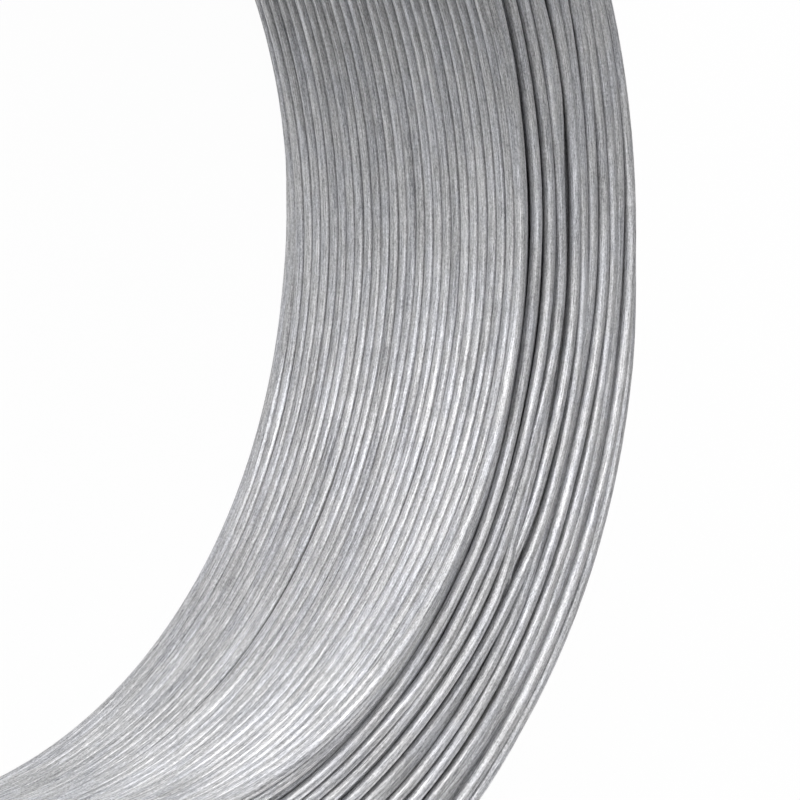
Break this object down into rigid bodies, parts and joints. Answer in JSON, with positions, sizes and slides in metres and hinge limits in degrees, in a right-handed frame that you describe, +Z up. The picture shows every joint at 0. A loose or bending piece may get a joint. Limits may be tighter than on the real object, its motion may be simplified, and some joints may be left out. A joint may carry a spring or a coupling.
{
  "type": "wire coil",
  "caption": "Ring-shaped coil of round zinc-coated steel binding wire, wound in nested layers round an open bore, for tying fence mesh to its posts and strainer wires.",
  "frame": {"origin": "centre of the bore, on the plane that the coil's lower end rests on", "axes": "+Z up along the axis of the bore; X and Y are equivalent radial directions"},
  "size_m": [0.1994, 0.1994, 0.0448],
  "materials": {
    "zinc_wire": "satin drawn zinc coat"
  },
  "bodies": {
    "root": {"wire_coil": "zinc_wire"}
  },
  "joints": []
}
